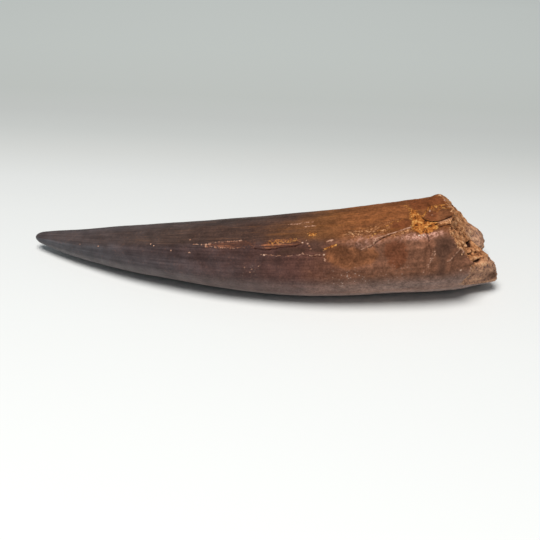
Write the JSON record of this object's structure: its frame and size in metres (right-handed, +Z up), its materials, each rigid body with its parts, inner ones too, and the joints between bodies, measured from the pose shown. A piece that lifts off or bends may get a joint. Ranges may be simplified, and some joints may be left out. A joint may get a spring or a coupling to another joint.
{
  "type": "fossil spinosaurus tooth",
  "caption": "Long curved conical fossil tooth with a ridge along its side and a rough broken root, lying on its side.",
  "frame": {"origin": "middle of the bounding box on the surface that the tooth lies on", "axes": "+X from the tip towards the broken root, -Y out of the convex side of the curve, +Z up"},
  "size_m": [0.1092, 0.0314, 0.0207],
  "materials": {
    "fossil_enamel": "soft natural polish, near-black brown at the tip turning red-brown and ochre at the broken root"
  },
  "bodies": {
    "root": {"tooth": "fossil_enamel"}
  },
  "joints": []
}
